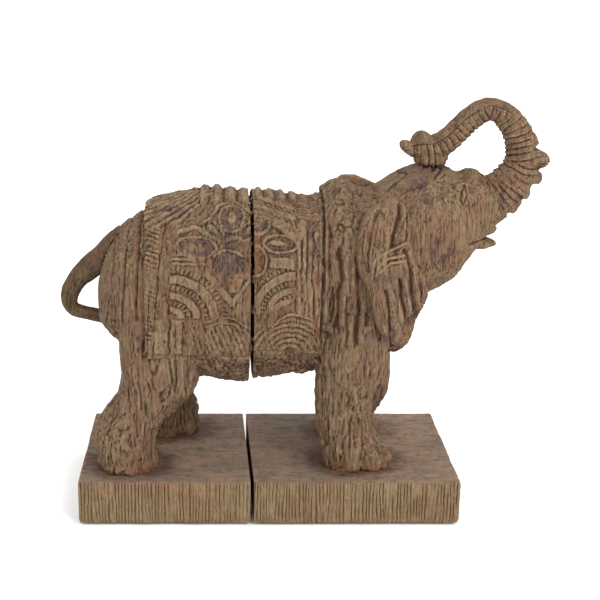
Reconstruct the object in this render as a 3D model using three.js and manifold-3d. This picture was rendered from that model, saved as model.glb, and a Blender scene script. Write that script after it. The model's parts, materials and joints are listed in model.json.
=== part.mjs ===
// A pair of bookends: a carved wooden elephant sawn across the middle, each half on its own plinth.
// Millimetres. +X runs from the tail to the head, +Y to the elephant's left, +Z up, and the shelf is Z = 0.
import * as THREE from "three";
import { ParametricGeometry } from "three/addons/geometries/ParametricGeometry.js";
import { mergeVertices } from "three/addons/utils/BufferGeometryUtils.js";
import Module from "manifold-3d";

const wasm = await Module();
wasm.setup();

// ---------------------------------------------------------------- driving dimensions
const GLUE_GAP = 0.3; // clearance left between pieces that are glued or seated
const REAR_CUT_X = -31.5; // sawn face of the rear half, flush with its plinth
const FRONT_CUT_X = -29.3; // sawn face of the front half
const PLINTH = { depth: 114, top: 27.5, bottom: 1.6, bevel: 1.2 };
const REAR_PLINTH_BACK = -130.5;
const FRONT_PLINTH_FRONT = 91;
const FELT = { thickness: 1.4, inset: 4 };
const SCREW = { shank: 4, head: 8, headDepth: 2.6, length: 42, bore: 4.6, seat: 8.8, sink: 3.4 };
const DOWEL_CLEARANCE = 0.25; // on the radius of every dowel hole
const FOOT_BOTTOM = PLINTH.top + 0.2;

// Where the feet stand: the middle of each foot, seen from above.
const FEET = {
  rightHind: { x: -103, y: -26 },
  leftHind: { x: -80, y: 29 },
  rightFore: { x: 32, y: -26 },
  leftFore: { x: 31, y: 27 },
};

// Body sections down the spine: [x, top, bottom, half width].
const HIND_BODY = [
  [-121, 133, 119, 6],
  [-119.5, 141, 111, 16],
  [-115, 154, 104, 26],
  [-108, 165, 98, 34],
  [-98, 174.3, 93, 39.5],
  [-88, 181, 89, 43],
  [-75, 186, 83, 44.5],
  [-60, 189, 77, 45],
  [-45, 189.3, 74, 45],
  [REAR_CUT_X, 187, 74.5, 44.5],
];
const FORE_BODY = [
  [FRONT_CUT_X, 188.5, 76.5, 44.5],
  [-15, 187, 77.5, 45],
  [0, 185, 79, 44.5],
  [7, 184.5, 80, 43.5],
  [12, 190, 83, 42.5],
  [18, 194, 86, 43],
  [24, 194.8, 88, 42.5],
  [30, 191, 91, 40],
  [37, 188.5, 94, 38],
  [46, 190.5, 98, 35],
  [58, 193, 104, 31],
  [72, 194, 112, 26],
];
const HEAD_BODY = [
  [32, 184, 142, 26],
  [42, 190, 126, 31],
  [52, 195.5, 120, 33],
  [62, 199.5, 122.5, 33],
  [72, 202.5, 127, 32],
  [82, 202.5, 131.5, 30],
  [91, 200.5, 138, 27],
  [98, 199, 148, 24],
  [105, 198.5, 158, 20],
  [112, 197.5, 166, 16.5],
  [121, 197, 173, 13.5],
];

// Leg sections from the sole up: [z, back, front, half width, middle y].
const HIND_LEGS = {
  right: [
    [FOOT_BOTTOM, -117, -89, 18.5, -28.5],
    [33, -121.5, -88, 20.5, -28],
    [44, -123, -87.5, 19.5, -27.5],
    [52, -121, -84, 17.5, -26.5],
    [60, -116.5, -76, 16.5, -26],
    [70, -110.5, -66, 18, -25.5],
    [80, -107.5, -61.5, 20, -25],
    [95, -108, -60, 21, -24],
    [115, -108, -62, 20, -23],
    [135, -104, -70, 15, -20],
  ],
  left: [
    [FOOT_BOTTOM, -96, -66, 14, 29],
    [33, -99, -63.5, 16.5, 29],
    [41, -99, -62, 17, 29],
    [50, -98, -65, 16.5, 29],
    [60, -100, -66, 16.5, 29],
    [72, -103.5, -64, 18, 28],
    [90, -107, -60.5, 20.5, 26],
    [115, -108, -62, 20, 23],
    [135, -104, -70, 15, 20],
  ],
};
const FORE_LEGS = {
  right: [
    [FOOT_BOTTOM, 15.5, 50, 15, -26],
    [32, 13.5, 52, 17, -26],
    [38, 12.5, 50.5, 17, -26],
    [45, 10.5, 45, 15.5, -26],
    [54, 8.5, 41.7, 15, -26],
    [66, 8, 41.7, 15.5, -26],
    [80, 8, 46, 17, -26],
    [95, 8, 50.5, 18.5, -25],
    [115, 10, 51, 18.5, -24],
    [138, 15, 45, 14, -23],
  ],
  left: [
    [FOOT_BOTTOM, 16.5, 46, 14.5, 27],
    [33, 14.5, 48, 16.5, 27],
    [40, 15, 47.5, 15.5, 27],
    [48, 17, 51.5, 15, 27],
    [56, 18, 56, 16, 27],
    [66, 16, 56.5, 17, 27],
    [78, 12, 56.5, 18, 27],
    [95, 9, 54, 18.5, 26],
    [115, 10, 52, 18.5, 25],
    [138, 15, 45, 14, 23],
  ],
};

// Ears hang like folded cloths: [z, back, front, middle |y|, half thickness].
const RIGHT_EAR = [
  [112, 45.5, 49, 41, 2.6],
  [114, 43, 51.5, 41.2, 4.6],
  [119.5, 40.5, 56, 41.5, 6],
  [126, 38.5, 62.5, 41.5, 6.5],
  [132.5, 37.5, 69.5, 41.5, 7],
  [139, 35.5, 70, 41.2, 7],
  [148, 31, 66, 40.5, 7],
  [157, 29.5, 61.5, 39.5, 7],
  [168, 29.5, 60, 37.5, 7],
  [178, 32.5, 59.5, 35, 7],
  [184, 38, 57.5, 33, 6],
  [188.5, 46.5, 53.5, 31, 3],
];
const LEFT_EAR = [
  [112, 45.5, 49, 41, 2.6],
  [114, 43, 51.5, 41.2, 4.6],
  [119.5, 40.5, 56, 41.5, 6],
  [126, 38.5, 62.5, 41.5, 6.5],
  [132.5, 37.5, 69.5, 41.5, 7],
  [139, 35, 70, 41.5, 7],
  [148, 30, 66, 42, 7],
  [157, 27, 61.5, 42, 7],
  [168, 24, 60, 41.5, 7],
  [178, 22, 58.5, 40, 7],
  [185.5, 21.5, 48, 38.5, 6],
  [191, 25.5, 35, 37.5, 3.4],
];

// Trunk and tail as tapering tubes in the middle plane: [x, z, radius].
const TRUNK = [
  [104, 178, 15],
  [111, 183, 14.2],
  [118.5, 188.5, 12.8],
  [125.5, 197, 11.7],
  [129, 206, 10.3],
  [127.3, 216, 9.2],
  [122.8, 226, 8.3],
  [115.5, 233.6, 7.3],
  [106.5, 236.1, 7],
  [96, 229.5, 7.2],
  [86.5, 219.8, 7.3],
  [78, 214, 7.5],
  [69, 213, 7.4],
  [65.5, 213, 5],
];
const TAIL = [
  [-94.5, 164, 10.6],
  [-102, 160.2, 9.8],
  [-112.6, 152.7, 8.5],
  [-123.2, 143.8, 7.5],
  [-132, 136.6, 6.4],
  [-138.3, 127.2, 5.4],
  [-139.1, 120, 4.8],
  [-136, 115.4, 4.3],
  [-129.4, 113.6, 4],
  [-120.2, 111.4, 4],
  [-112, 108, 4],
];
const TRUNK_RIDGE = [
  [138.1, 206.2, 6.6],
  [134, 197.4, 6.4],
  [128, 188, 6.2],
  [121.4, 180.2, 5.8],
];

// Flat glue seams: a point on the seam and the way the outer piece lies.
const HEAD_SEAM = { x: 54.6, z: 160, nx: 0.907, nz: 0.42 };
const TRUNK_SEAM = { x: 113, z: 184.5, nx: 0.9025, nz: 0.4332 };
const TAIL_SEAM = { x: -104, z: 162, nx: -0.75, nz: -0.66 };

// ---------------------------------------------------------------- materials
function carved(colour, roughness = 0.82) {
  return new THREE.MeshStandardMaterial({ color: colour, roughness, metalness: 0 });
}
const WOOD = carved(0x8f7450);
const DARK_WOOD = carved(0x76604a);
const PALE_WOOD = carved(0x9a8158);
const PLINTH_WOOD = carved(0x86705a, 0.75);
const BEECH = carved(0xc9a573, 0.7);
const FELT_CLOTH = carved(0x2f3a30, 1);
const STEEL = new THREE.MeshStandardMaterial({ color: 0x9a9a98, roughness: 0.35, metalness: 0.9 });

// ---------------------------------------------------------------- solids from three.js shapes
function solid(geometry, place = new THREE.Matrix4()) {
  const bare = geometry.clone().applyMatrix4(place);
  bare.deleteAttribute("normal");
  bare.deleteAttribute("uv");
  const merged = mergeVertices(bare, 1e-4);
  const corner = merged.index.array;
  const kept = [];
  for (let i = 0; i < corner.length; i += 3) {
    const [a, b, c] = [corner[i], corner[i + 1], corner[i + 2]];
    if (a !== b && b !== c && c !== a) kept.push(a, b, c);
  }
  const vertProperties = merged.attributes.position.array;
  return new wasm.Manifold(
    new wasm.Mesh({ numProp: 3, vertProperties, triVerts: new Uint32Array(kept) }),
  );
}

function union(...pieces) {
  return pieces.reduce((all, piece) => all.add(piece));
}

function node(name, made, material) {
  const out = made.getMesh();
  const geometry = new THREE.BufferGeometry();
  geometry.setAttribute("position", new THREE.BufferAttribute(out.vertProperties, 3));
  geometry.setIndex(new THREE.BufferAttribute(out.triVerts, 1));
  geometry.computeVertexNormals();
  const mesh = new THREE.Mesh(geometry, material);
  mesh.name = name;
  return mesh;
}

// A smooth closed skin through a row of stations. Each station is a centre with a half-axis to
// the side and one that rises; squareness 2 is an ellipse and more is boxier. The ends are flat.
function skin(stations, { squareness = 2, around = 32, perSpan = 3 } = {}) {
  const curve = (key) => new THREE.CatmullRomCurve3(stations.map((s) => s[key]), false, "catmullrom");
  const [at, side, rise] = ["at", "side", "rise"].map(curve);
  const rings = (stations.length - 1) * perSpan;
  const squared = (w) => Math.sign(w) * Math.abs(w) ** (2 / squareness);
  const surface = (u, v, target) => {
    const row = Math.round(v * (rings + 2)) - 1;
    const t = THREE.MathUtils.clamp(row / rings, 0, 1);
    at.getPoint(t, target);
    if (row < 0 || row > rings) return;
    const turn = (u % 1) * 2 * Math.PI;
    target.addScaledVector(side.getPoint(t), squared(Math.cos(turn)));
    target.addScaledVector(rise.getPoint(t), squared(Math.sin(turn)));
  };
  return solid(new ParametricGeometry(surface, around, rings + 2));
}

function bodySkin(rows, grow = 0) {
  const stations = rows.map(([x, top, bottom, half]) => ({
    at: new THREE.Vector3(x, 0, (top + bottom) / 2),
    side: new THREE.Vector3(0, half + grow, 0),
    rise: new THREE.Vector3(0, 0, (top - bottom) / 2 + grow),
  }));
  return skin(stations, { squareness: 2.4, around: 30, perSpan: 2 });
}

function uprightSkin(rows, grow, options) {
  const stations = rows.map(([z, back, front, half, y]) => ({
    at: new THREE.Vector3((back + front) / 2, y, z),
    side: new THREE.Vector3((front - back) / 2 + grow, 0, 0),
    rise: new THREE.Vector3(0, half + grow, 0),
  }));
  return skin(stations, options);
}

function legSkin(rows, grow = 0) {
  return uprightSkin(rows, grow, { squareness: 2.3, around: 18, perSpan: 2 });
}

function earSkin(rows, sign) {
  const placed = rows.map(([z, back, front, y, half]) => [z, back, front, half, sign * y]);
  return uprightSkin(placed, 0, { squareness: 2.4, around: 18, perSpan: 2 });
}

function tubeSkin(rows, wide = 1) {
  const middle = rows.map(([x, z]) => new THREE.Vector3(x, 0, z));
  const curve = new THREE.CatmullRomCurve3(middle, false, "catmullrom");
  const stations = rows.map(([, , radius], i) => {
    const ahead = curve.getTangent(i / (rows.length - 1));
    const side = new THREE.Vector3(0, radius * wide, 0);
    const rise = new THREE.Vector3().crossVectors(ahead, side).setLength(radius);
    return { at: middle[i], side, rise };
  });
  return skin(stations, { around: 16, perSpan: 2 });
}

function lump(x, y, z, rx, ry, rz, lean = 0) {
  const place = new THREE.Matrix4().compose(
    new THREE.Vector3(x, y, z),
    new THREE.Quaternion().setFromAxisAngle(new THREE.Vector3(0, 1, 0), -lean),
    new THREE.Vector3(rx, ry, rz),
  );
  return solid(new THREE.SphereGeometry(1, 18, 10), place);
}

// A cylinder with its middle at a point and its length along a direction.
function rod(radius, length, at, along, segments = 20) {
  const turn = new THREE.Quaternion().setFromUnitVectors(
    new THREE.Vector3(0, 1, 0),
    along.clone().normalize(),
  );
  const place = new THREE.Matrix4().compose(at, turn, new THREE.Vector3(1, 1, 1));
  return solid(new THREE.CylinderGeometry(radius, radius, length, segments), place);
}

// Everything on the outer side (+1) or inner side (-1) of a seam, starting a set-back past it.
function beyond(seam, sign, setBack = GLUE_GAP / 2) {
  const size = 400;
  const normal = new THREE.Vector3(seam.nx, 0, seam.nz).normalize().multiplyScalar(sign);
  const middle = new THREE.Vector3(seam.x, 0, seam.z);
  middle.addScaledVector(normal, size / 2 + setBack);
  const turn = new THREE.Quaternion().setFromUnitVectors(new THREE.Vector3(1, 0, 0), normal);
  const place = new THREE.Matrix4().compose(middle, turn, new THREE.Vector3(1, 1, 1));
  return solid(new THREE.BoxGeometry(size, size, size), place);
}

// ---------------------------------------------------------------- dowels and pegs
const DOWELS = {
  neck_dowel: { radius: 6, length: 40, at: [54.6, 0, 160], along: [0.907, 0, 0.42] },
  trunk_dowel: { radius: 3.5, length: 20, at: [114, 0, 185], along: [0.9025, 0, 0.4332] },
  right_ear_peg: { radius: 2.5, length: 14, at: [50, -33.5, 158], along: [0, 1, 0] },
  left_ear_peg: { radius: 2.5, length: 14, at: [50, 33.5, 158], along: [0, 1, 0] },
  tail_peg: { radius: 2, length: 14, at: [-116.5, 0, 146], along: [-0.82, 0, 0.57] },
};

function dowel(name, clearance = 0) {
  const { radius, length, at, along } = DOWELS[name];
  const middle = new THREE.Vector3(...at);
  const direction = new THREE.Vector3(...along);
  return rod(radius + clearance, length + 2 * clearance, middle, direction);
}

function drilled(block, ...names) {
  return names.reduce((left, name) => left.subtract(dowel(name, DOWEL_CLEARANCE)), block);
}

// ---------------------------------------------------------------- plinths, pads and screws
function plinthShape(length, inset) {
  const shape = new THREE.Shape();
  const [x, y] = [length / 2 - inset, PLINTH.depth / 2 - inset];
  shape.moveTo(-x, -y).lineTo(x, -y).lineTo(x, y).lineTo(-x, y).closePath();
  return shape;
}

function plinth(back, front, feet) {
  const height = PLINTH.top - PLINTH.bottom;
  const slab = new THREE.ExtrudeGeometry(plinthShape(front - back, 0), {
    depth: height,
    bevelEnabled: false,
  });
  const at = new THREE.Matrix4().makeTranslation((back + front) / 2, 0, PLINTH.bottom);
  return feet.reduce((left, foot) => left.subtract(screwHole(foot)), solid(slab, at));
}

function pad(name, back, front) {
  const sheet = new THREE.ExtrudeGeometry(plinthShape(front - back, FELT.inset), {
    depth: FELT.thickness,
    bevelEnabled: false,
  });
  const mesh = new THREE.Mesh(sheet, FELT_CLOTH);
  mesh.name = name;
  mesh.position.set((back + front) / 2, 0, 0);
  return mesh;
}

// The stepped hole under a foot: head recess, clearance bore and blind pilot, on one axis.
function screwHole(foot) {
  const up = new THREE.Vector3(0, 0, 1);
  const bore = rod(SCREW.bore / 2, 60, new THREE.Vector3(foot.x, foot.y, 30 - 10), up, 16);
  const mouth = PLINTH.bottom + SCREW.sink;
  const seat = rod(SCREW.seat / 2, 20, new THREE.Vector3(foot.x, foot.y, mouth - 10), up, 24);
  return bore.add(seat);
}

function screw(name, foot) {
  const { shank, head, headDepth, length } = SCREW;
  const profile = [
    [0, 0],
    [head / 2, 0],
    [head / 2, 0.6],
    [shank / 2, headDepth],
    [shank / 2, length - 4],
    [0.6, length],
    [0, length],
  ].map(([r, y]) => new THREE.Vector2(r, y));
  const mesh = new THREE.Mesh(new THREE.LatheGeometry(profile, 16), STEEL);
  mesh.name = name;
  mesh.rotation.x = Math.PI / 2;
  mesh.position.set(foot.x, foot.y, PLINTH.bottom + SCREW.sink - headDepth - 0.2);
  return mesh;
}

// ---------------------------------------------------------------- the carved blocks
function hindquarters() {
  const block = union(bodySkin(HIND_BODY), legSkin(HIND_LEGS.right), legSkin(HIND_LEGS.left));
  const bored = block.subtract(screwHole(FEET.rightHind)).subtract(screwHole(FEET.leftHind));
  return drilled(bored, "tail_peg");
}

function tail() {
  const free = tubeSkin(TAIL).intersect(beyond(TAIL_SEAM, 1));
  return drilled(free.subtract(bodySkin(HIND_BODY, GLUE_GAP)), "tail_peg");
}

function foreBlock(grow = 0) {
  const chest = lump(51.5, 0, 108.5, 20 + grow, 29 + grow, 18.5 + grow);
  const legs = [FORE_LEGS.right, FORE_LEGS.left].map((rows) => legSkin(rows, grow));
  return union(bodySkin(FORE_BODY, grow), ...legs, chest);
}

function forequarters() {
  const block = foreBlock().intersect(beyond(HEAD_SEAM, -1));
  const bored = block.subtract(screwHole(FEET.rightFore)).subtract(screwHole(FEET.leftFore));
  return drilled(bored, "neck_dowel", "right_ear_peg", "left_ear_peg");
}

function headBlock(grow = 0) {
  const cap = lump(61.5, 0, 194.6, 17.3 + grow, 20 + grow, 6 + grow, 0.42);
  const brow = lump(99, 0, 197, 6.5 + grow, 16, 5.4 + grow);
  const upperLip = lump(104, 0, 165.8, 11.3, 12, 4.3);
  const lowerLip = lump(102, 0, 157, 14.4, 11, 3.6);
  return union(bodySkin(HEAD_BODY, grow), cap, brow, upperLip, lowerLip);
}

function head() {
  const block = headBlock().intersect(beyond(HEAD_SEAM, 1)).intersect(beyond(TRUNK_SEAM, -1));
  return drilled(block, "neck_dowel", "trunk_dowel", "right_ear_peg", "left_ear_peg");
}

function trunk() {
  const ridge = TRUNK_RIDGE.map(([x, z, r]) => lump(x, 0, z, r, r * 1.15, r * 0.8, -0.6));
  const upperFinger = lump(69.3, 0, 216.6, 6.6, 7.2, 7.4);
  const lowerFinger = lump(62.6, 0, 213.2, 7.4, 5.6, 3.9, -0.6);
  const rest = lump(75, 0, 207.6, 10.5, 8, 6.4);
  const whole = union(tubeSkin(TRUNK, 1.05), ...ridge, upperFinger, lowerFinger, rest);
  const skull = headBlock(GLUE_GAP).intersect(beyond(TRUNK_SEAM, -1, -GLUE_GAP / 2));
  return drilled(whole.subtract(skull), "trunk_dowel");
}

function ear(rows, sign, peg) {
  const clearOfHead = earSkin(rows, sign).subtract(headBlock(GLUE_GAP));
  return drilled(clearOfHead.subtract(foreBlock(GLUE_GAP)), peg);
}

// ---------------------------------------------------------------- the two bookends
const rearHalf = new THREE.Group();
rearHalf.name = "rear_half";
rearHalf.add(
  pad("rear_felt_pad", REAR_PLINTH_BACK, REAR_CUT_X),
  node("rear_plinth", plinth(REAR_PLINTH_BACK, REAR_CUT_X, [FEET.rightHind, FEET.leftHind]), PLINTH_WOOD),
  screw("right_hind_screw", FEET.rightHind),
  screw("left_hind_screw", FEET.leftHind),
  node("hindquarters", hindquarters(), WOOD),
  node("tail_peg", dowel("tail_peg"), BEECH),
  node("tail", tail(), DARK_WOOD),
);

const frontHalf = new THREE.Group();
frontHalf.name = "front_half";
frontHalf.add(
  pad("front_felt_pad", FRONT_CUT_X, FRONT_PLINTH_FRONT),
  node("front_plinth", plinth(FRONT_CUT_X, FRONT_PLINTH_FRONT, [FEET.rightFore, FEET.leftFore]), PLINTH_WOOD),
  screw("right_fore_screw", FEET.rightFore),
  screw("left_fore_screw", FEET.leftFore),
  node("forequarters", forequarters(), WOOD),
  node("neck_dowel", dowel("neck_dowel"), BEECH),
  node("head", head(), PALE_WOOD),
  node("trunk_dowel", dowel("trunk_dowel"), BEECH),
  node("trunk", trunk(), WOOD),
  node("right_ear_peg", dowel("right_ear_peg"), BEECH),
  node("right_ear", ear(RIGHT_EAR, -1, "right_ear_peg"), DARK_WOOD),
  node("left_ear_peg", dowel("left_ear_peg"), BEECH),
  node("left_ear", ear(LEFT_EAR, 1, "left_ear_peg"), DARK_WOOD),
);

const bookends = new THREE.Group();
bookends.name = "elephant_bookends";
bookends.add(rearHalf, frontHalf);

export default bookends;
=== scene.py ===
# %% [markdown]
# # A carved elephant, sawn into a pair of bookends
#
# The object is one wooden elephant cut across the middle, so that a row of books can stand between
# its two halves. Each half has a plinth with scored sides. The CAD model gives every piece its place
# and rough form; this lesson gives each piece its carving and its finish.
#
# The forms are free carving, not turned or planed work, so most pieces begin as a copy of their CAD
# block. The block is remeshed into fine even squares, softened as a gouge and sandpaper would soften
# it, and then cut by moving its points in and out along their normals.

# %% The frame
import itertools
import json
import math

import bpy
import numpy as np
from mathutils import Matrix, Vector
from mathutils.bvhtree import BVHTree

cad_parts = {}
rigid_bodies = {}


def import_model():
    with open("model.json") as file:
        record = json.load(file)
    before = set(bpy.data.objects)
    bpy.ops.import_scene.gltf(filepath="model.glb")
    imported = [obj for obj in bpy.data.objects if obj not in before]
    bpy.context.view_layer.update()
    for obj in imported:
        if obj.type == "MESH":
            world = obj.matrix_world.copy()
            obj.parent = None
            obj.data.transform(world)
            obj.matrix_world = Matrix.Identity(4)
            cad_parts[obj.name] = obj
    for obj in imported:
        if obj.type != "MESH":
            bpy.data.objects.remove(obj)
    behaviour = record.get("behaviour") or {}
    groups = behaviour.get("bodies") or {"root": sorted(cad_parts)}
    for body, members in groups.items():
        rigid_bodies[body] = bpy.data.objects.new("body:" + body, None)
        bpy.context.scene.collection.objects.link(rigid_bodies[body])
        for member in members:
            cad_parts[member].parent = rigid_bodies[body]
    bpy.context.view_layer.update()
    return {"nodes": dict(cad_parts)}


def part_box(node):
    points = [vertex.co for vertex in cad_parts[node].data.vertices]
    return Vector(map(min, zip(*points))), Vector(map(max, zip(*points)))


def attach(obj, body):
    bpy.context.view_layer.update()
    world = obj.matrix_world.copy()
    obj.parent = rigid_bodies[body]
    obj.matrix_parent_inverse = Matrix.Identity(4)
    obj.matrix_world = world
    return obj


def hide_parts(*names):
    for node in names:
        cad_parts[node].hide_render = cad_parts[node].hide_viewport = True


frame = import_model()
MM = 0.001

# %% [markdown]
# ## The camera
#
# It stands in front of the elephant's right side, about 0.8 m away and a little above, and looks
# 15.5 degrees down. It is set first, so that every later look is from the same place.

# %% The camera
CAMERA_AT = (-0.0465, -0.7515, 0.3297)
CAMERA_PITCH = 15.5
camera_data = bpy.data.cameras.new("camera")
camera_data.lens = 77.6
camera_data.sensor_width = 36
camera_data.shift_x = 0.1283
camera = bpy.data.objects.new("camera", camera_data)
camera.location = CAMERA_AT
camera.rotation_euler = (math.radians(90 - CAMERA_PITCH), 0, 0)
bpy.context.scene.collection.objects.link(camera)
bpy.context.scene.camera = camera
print("camera set")

# %% [markdown]
# ## Helpers for blocks of wood
#
# A block's points are read and written as one array in millimetres, because a carving pattern is
# worked out for all of them at once.


# %% Reading and moving points
def vectors(rows, name):
    """One vector of each point or face of a mesh, as an array with three columns."""
    flat = np.empty(len(rows) * 3, np.float32)
    rows.foreach_get(name, flat)
    return flat.reshape(-1, 3)


def points(block):
    return vectors(block.data.vertices, "co").astype(float) / MM


def place_points(block, where):
    block.data.vertices.foreach_set("co", (where * MM).astype(np.float32).ravel())
    block.data.update()


def normals(block):
    return vectors(block.data.vertex_normals, "vector").astype(float)


def cut(block, height):
    """Moves each point out along its normal by a height in mm; a negative height cuts in."""
    place_points(block, points(block) + normals(block) * height[:, None])


# %% Selecting
def pick(block):
    bpy.ops.object.select_all(action="DESELECT")
    block.select_set(True)
    bpy.context.view_layer.objects.active = block


def choose(block, kind, chosen):
    """Enters edit mode with only the chosen vertices, edges or polygons of a block selected."""
    pick(block)
    modes = [kind == each for each in ("vertices", "edges", "polygons")]
    bpy.context.tool_settings.mesh_select_mode = modes
    bpy.ops.object.mode_set(mode="EDIT")
    bpy.ops.mesh.select_all(action="DESELECT")
    bpy.ops.object.mode_set(mode="OBJECT")
    getattr(block.data, kind).foreach_set("select", chosen)
    bpy.ops.object.mode_set(mode="EDIT")


def join(block, part):
    """Makes a part one mesh with the block."""
    pick(block)
    part.select_set(True)
    bpy.ops.object.join()


# %% Blocks, remeshing and flat saw cuts
MERGE_WITHIN = 0.01  # mm
SEAM_WITHIN = 0.25
PUSHED_OUT = 5.0


def rough_block(node, name, seams=()):
    """A merged copy of a CAD node, its flat seam faces pushed out so that a later cut is crisp."""
    block = bpy.data.objects.new(name, frame["nodes"][node].data.copy())
    bpy.context.scene.collection.objects.link(block)
    block.data.materials.clear()
    pick(block)
    bpy.ops.object.mode_set(mode="EDIT")
    bpy.ops.mesh.select_all(action="SELECT")
    bpy.ops.mesh.remove_doubles(threshold=MERGE_WITHIN * MM)
    bpy.ops.object.mode_set(mode="OBJECT")
    where = points(block)
    for at, out in seams:
        out = np.array(out, float)
        where[np.abs((where - at) @ out) < SEAM_WITHIN] += out * PUSHED_OUT
    place_points(block, where)
    return block


def apply_modifier(block, kind, **settings):
    """Adds a modifier with its settings, and makes its result the block's mesh."""
    pick(block)
    modifier = block.modifiers.new(kind.lower(), kind)
    for key, value in settings.items():
        setattr(modifier, key, value)
    bpy.ops.object.modifier_apply(modifier=modifier.name)


def soften(block, voxel, rounds):
    """Turns the block into even squares of that size in mm, and smooths them."""
    apply_modifier(block, "REMESH", mode="VOXEL", voxel_size=voxel * MM, use_smooth_shade=True)
    apply_modifier(block, "SMOOTH", factor=0.5, iterations=rounds)


def saw(block, at, out, within=500.0):
    """Cuts the block off flat on a plane, in mm, and closes the cut; only near the point at."""
    away = np.linalg.norm(vectors(block.data.polygons, "center") / MM - at, axis=1)
    choose(block, "polygons", away < within)
    bpy.ops.mesh.bisect(
        plane_co=[v * MM for v in at], plane_no=out, use_fill=True, clear_outer=True
    )
    bpy.ops.object.mode_set(mode="OBJECT")


def drop_crumbs(block):
    """Deletes what a cut left loose, which is all that is not joined to the block's lowest point."""
    level = points(block)[:, 2]
    choose(block, "vertices", np.arange(len(level)) == level.argmin())
    bpy.ops.mesh.select_linked()
    bpy.ops.mesh.select_all(action="INVERT")
    bpy.ops.mesh.delete(type="VERT")
    bpy.ops.object.mode_set(mode="OBJECT")


# %% [markdown]
# ## Random wood
#
# Bark lines, chisel marks and worn patches are all made from one smooth random field. Stretching it
# in one direction gives fibres, and its zero lines, which wander and branch, give cracks.


# %% A smooth random field
def field(where, size, seed=0):
    """Smooth random numbers from -1 to 1; size is a cell in mm, one number or one for each axis."""
    q = where / np.array(size, float)
    cell = np.floor(q).astype(np.int64)
    part = q - cell
    part = part * part * (3 - 2 * part)
    total = np.zeros(len(q))
    for corner in itertools.product((0, 1), repeat=3):
        c = cell + np.array(corner)
        key = c[:, 0] * 374761393 + c[:, 1] * 668265263 + c[:, 2] * 1442695041 + seed * 974634777
        key = key & 0xFFFFFFFF
        key = ((key ^ (key >> 13)) * 1274126177) & 0xFFFFFFFF
        value = ((key ^ (key >> 16)) & 0xFFFF) / 32767.5 - 1
        weight = np.prod(np.where(corner, part, 1 - part), axis=1)
        total += weight * value
    return total


def rough(where, size, seed=0):
    """The field with a finer one on top, from about -1 to 1."""
    size = np.array(size, float)
    return field(where, size, seed) * 0.65 + field(where, size / 2.1, seed + 7) * 0.35


def step(low, high, value):
    """0 below low, 1 above high, and smooth between."""
    t = np.clip((value - low) / (high - low), 0, 1)
    return t * t * (3 - 2 * t)


def cracks(where, size, seed, width):
    """1 along wandering lines, 0 between them."""
    return 1 - step(0, width, np.abs(rough(where, size, seed)))


print("field at one place:", np.round(field(np.array([[1.5, 2.5, 3.5]]), 1), 3))


# %% Bands and lines to cut along
def bar(value, middle, width, soft=0.7):
    """1 on a band of that width, with soft shoulders."""
    return 1 - step(width / 2 - soft / 2, width / 2 + soft / 2, np.abs(value - middle))


def stroke(x, v, path, width, soft=0.8):
    """A band of that width along a line through some points."""
    away = np.full(len(x), 1e9)
    for (ax, av), (bx, bv) in zip(path, path[1:]):
        dx, dv = bx - ax, bv - av
        t = np.clip(((x - ax) * dx + (v - av) * dv) / (dx * dx + dv * dv), 0, 1)
        away = np.minimum(away, np.hypot(x - ax - t * dx, v - av - t * dv))
    return bar(away, 0, width, soft)


# %% [markdown]
# ## Rubbed-in wash
#
# After carving, a dark wash is brushed on and wiped off, so it stays in the hollows. Each piece
# stores how hollow it is at every point: the point is compared with the average of its neighbours,
# once close by for fine cuts and once further out for folds. The material reads this attribute.
# Some pieces add painted shade to it: the belly, the plinth tops round the feet and the tail.


# %% Measuring hollows
def averaged(values, edges, rounds):
    """Each point's values drawn halfway to its neighbours' mean, as many times as rounds says."""
    count = len(values)
    degree = np.bincount(edges.ravel(), minlength=count)[:, None] + 1e-9
    for _ in range(rounds):
        total = np.empty_like(values)
        for axis in range(values.shape[1]):
            column = values[:, axis]
            total[:, axis] = np.bincount(edges[:, 0], column[edges[:, 1]], count)
            total[:, axis] += np.bincount(edges[:, 1], column[edges[:, 0]], count)
        values = 0.5 * values + 0.5 * total / degree
    return values


def edge_list(block):
    flat = np.empty(len(block.data.edges) * 2, np.int64)
    block.data.edges.foreach_get("vertices", flat)
    return flat.reshape(-1, 2)


def store(block, name, values):
    attribute = block.data.attributes.get(name) or block.data.attributes.new(name, "FLOAT", "POINT")
    attribute.data.foreach_set("value", np.clip(values, 0, 1).astype(np.float32))


def rub_wash(block, extra=0, raised=0, fine=0.30, wide=1.6):
    """Stores wash, 1 in the deepest hollows, and worn, 1 on the highest ridges."""
    where, out, edges = points(block), normals(block), edge_list(block)
    close = ((averaged(where, edges, 5) - where) * out).sum(1)
    far = ((averaged(where, edges, 45) - where) * out).sum(1)
    # extra adds more wash and, on some pieces, painted shade: the belly, the plinth tops round the feet,
    # the tail.
    wash_and_shade = step(0.02, fine, close) * 0.6 + step(0.1, wide, far) * 0.5 + extra
    store(block, "wash_and_shade", wash_and_shade)
    store(block, "worn", step(0.02, fine, -close) * 0.6 + step(0.1, wide, -far) * 0.5 + raised)
    print(block.name, len(block.data.polygons), "faces, mean wash", round(float(wash_and_shade.mean()), 3))


# %% [markdown]
# ## The hindquarters
#
# Rump, belly and hind legs are one block of wood. The grain stands upright, and the carver left it
# rough: long bark-like cracks on the rump, shorter ones on the legs, and toes at each foot.

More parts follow.
